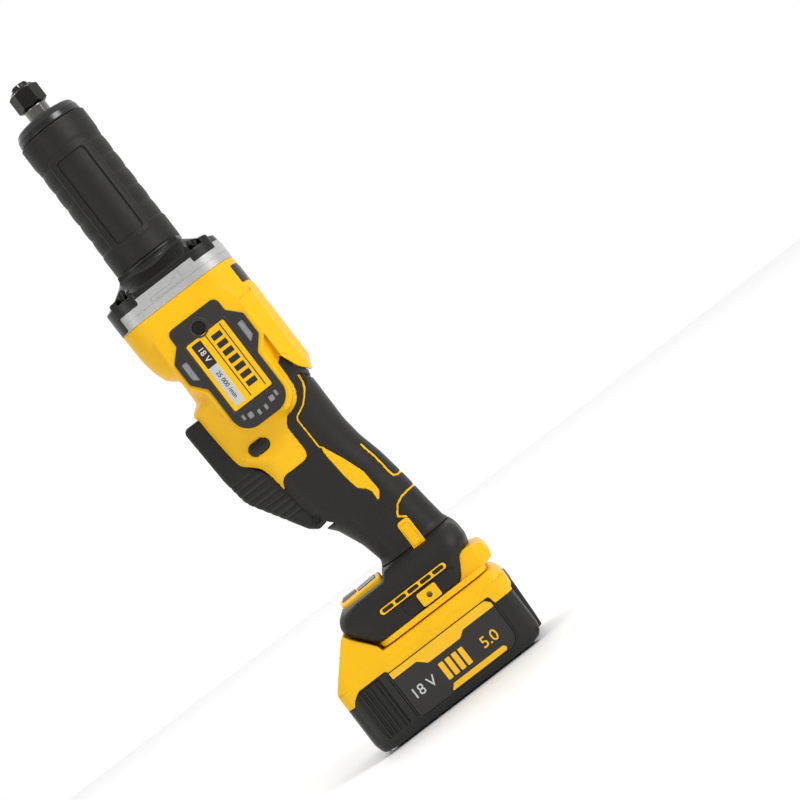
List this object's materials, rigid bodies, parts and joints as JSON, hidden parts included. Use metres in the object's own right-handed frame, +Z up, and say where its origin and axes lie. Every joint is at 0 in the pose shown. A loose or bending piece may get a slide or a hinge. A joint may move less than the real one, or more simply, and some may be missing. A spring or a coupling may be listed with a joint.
{
  "type": "die grinder",
  "caption": "Cordless straight die grinder with a collet at the end of a long rubber nose, a paddle switch under the handle and a slide-on battery foot.",
  "frame": {"origin": "on the spindle axis, in the flat underside of the battery pack that the tool stands on", "axes": "+Z runs up the spindle axis to the collet; -X is the paddle side, +X the back of the handle; -Y is the tool's left and +Y its right"},
  "size_m": [0.1216, 0.0756, 0.437],
  "materials": {
    "yellow_plastic": "fine spark-eroded texture",
    "black_plastic": "matte, fine texture",
    "black_rubber": "soft satin overmould",
    "panel_black": "satin moulded badge",
    "cap_black": "polished",
    "die_cast": "bead blasted",
    "black_oxide": "black oxide",
    "bright_steel": "turned and ground",
    "zinc_steel": "zinc plated",
    "race_steel": "ground and polished",
    "laminated_steel": "stacked laminations",
    "copper_winding": "enamelled copper",
    "magnet": "sintered, nickel plated",
    "brass_insert": "knurled",
    "white_plastic": "plain",
    "grey_plastic": "matte",
    "board_green": "solder mask",
    "lens": "smoked lens",
    "lead_insulation": "silicone lead",
    "contact_copper": "tin plated copper",
    "cell_wrap": "shrink sleeve",
    "label": "printed film"
  },
  "bodies": {
    "housing": {"bearing_outer_races": "race_steel", "nose_housing": "black_plastic", "nose_cap": "cap_black", "nose_grip": "black_rubber", "retaining_ring": "zinc_steel", "adapter_plate": "die_cast", "flange_screws": "zinc_steel", "stator_core": "laminated_steel", "stator_coils": "copper_winding", "stator_end_ring": "white_plastic", "fan_baffle": "black_plastic", "leads": "lead_insulation", "housing_left": "yellow_plastic", "housing_right": "yellow_plastic", "housing_screws": "zinc_steel", "panel_screws": "black_oxide", "vent_strips": "yellow_plastic", "accessory_inserts": "brass_insert", "control_bezel": "yellow_plastic", "display_lens": "lens", "controller_tray": "die_cast", "controller_board": "board_green", "terminal_block": "black_plastic", "terminal_blades": "contact_copper", "trigger_switch": "black_plastic", "trigger_pin": "black_oxide", "trigger_spring": "bright_steel", "side_panel_left": "panel_black", "side_panel_right": "panel_black", "nameplate_left": "yellow_plastic", "nameplate_right": "yellow_plastic", "rubber_grip_left": "black_rubber", "rubber_grip_right": "black_rubber", "foot_cover_left": "black_rubber", "foot_cover_right": "black_rubber"},
    "rotor": {"spindle": "bright_steel", "shaft_coupling": "zinc_steel", "motor_shaft": "bright_steel", "rotor_core": "laminated_steel", "rotor_magnets": "magnet", "cooling_fan": "black_plastic", "bearing_inner_races": "race_steel", "bearing_balls": "race_steel"},
    "collet": {"collet": "bright_steel"},
    "collet_nut": {"collet_nut": "black_oxide"},
    "paddle": {"trigger_paddle": "black_plastic"},
    "plunger": {"switch_plunger": "white_plastic"},
    "lock_button": {"lock_button": "black_plastic"},
    "speed_button": {"speed_button": "grey_plastic"},
    "battery": {"pack_lower": "black_plastic", "pack_upper": "yellow_plastic", "pack_screws": "zinc_steel", "pack_cells": "cell_wrap", "cell_frame": "grey_plastic", "pack_board": "board_green", "pack_terminals": "contact_copper", "pack_labels": "label", "latch_spring": "bright_steel"},
    "latch": {"latch_button": "black_plastic"},
    "fuel_gauge": {"fuel_gauge_button": "grey_plastic"}
  },
  "joints": [
    {"name": "spindle_spin", "type": "hinge", "parent": "housing", "child": "rotor", "pos_m": [0, 0, 0.36], "axis": [0, 0, 1], "continuous": true},
    {"name": "collet_slide", "type": "slide", "parent": "rotor", "child": "collet", "axis": [0, 0, 1], "range_m": [0, 0.003]},
    {"name": "nut_turn", "type": "hinge", "parent": "collet", "child": "collet_nut", "pos_m": [0, 0, 0.428], "axis": [0, 0, 1], "range_deg": [0, 1080]},
    {"name": "paddle_squeeze", "type": "hinge", "parent": "housing", "child": "paddle", "pos_m": [-0.015, 0, 0.1315], "axis": [0, 1, 0], "range_deg": [0, 3.5], "stiffness_Nm_per_rad": 4, "springref_deg": -6.88},
    {"name": "plunger_slide", "type": "slide", "parent": "housing", "child": "plunger", "axis": [1, 0, 0], "range_m": [0, 0.0025]},
    {"name": "lock_press", "type": "slide", "parent": "housing", "child": "lock_button", "axis": [0, 1, 0], "range_m": [0, 0.004], "stiffness_N_per_m": 300, "springref_m": -0.004},
    {"name": "speed_press", "type": "slide", "parent": "housing", "child": "speed_button", "axis": [0, 0, -1], "range_m": [0, 0.0008], "stiffness_N_per_m": 1200, "springref_m": -0.001},
    {"name": "battery_slide", "type": "slide", "parent": "housing", "child": "battery", "axis": [-1, 0, 0], "range_m": [0, 0.09]},
    {"name": "latch_press", "type": "slide", "parent": "battery", "child": "latch", "axis": [0, 0, -1], "range_m": [0, 0.004], "stiffness_N_per_m": 600, "springref_m": -0.004, "deforming": ["latch_spring"]},
    {"name": "fuel_gauge_press", "type": "slide", "parent": "battery", "child": "fuel_gauge", "axis": [-1, 0, 0], "range_m": [0, 0.0008], "stiffness_N_per_m": 1200, "springref_m": -0.001}
  ],
  "couplings": [
    {"joint": "nut_turn", "follows": "collet_slide", "rad_per_m": 6283},
    {"joint": "plunger_slide", "follows": "paddle_squeeze", "m_per_rad": 0.0335}
  ]
}
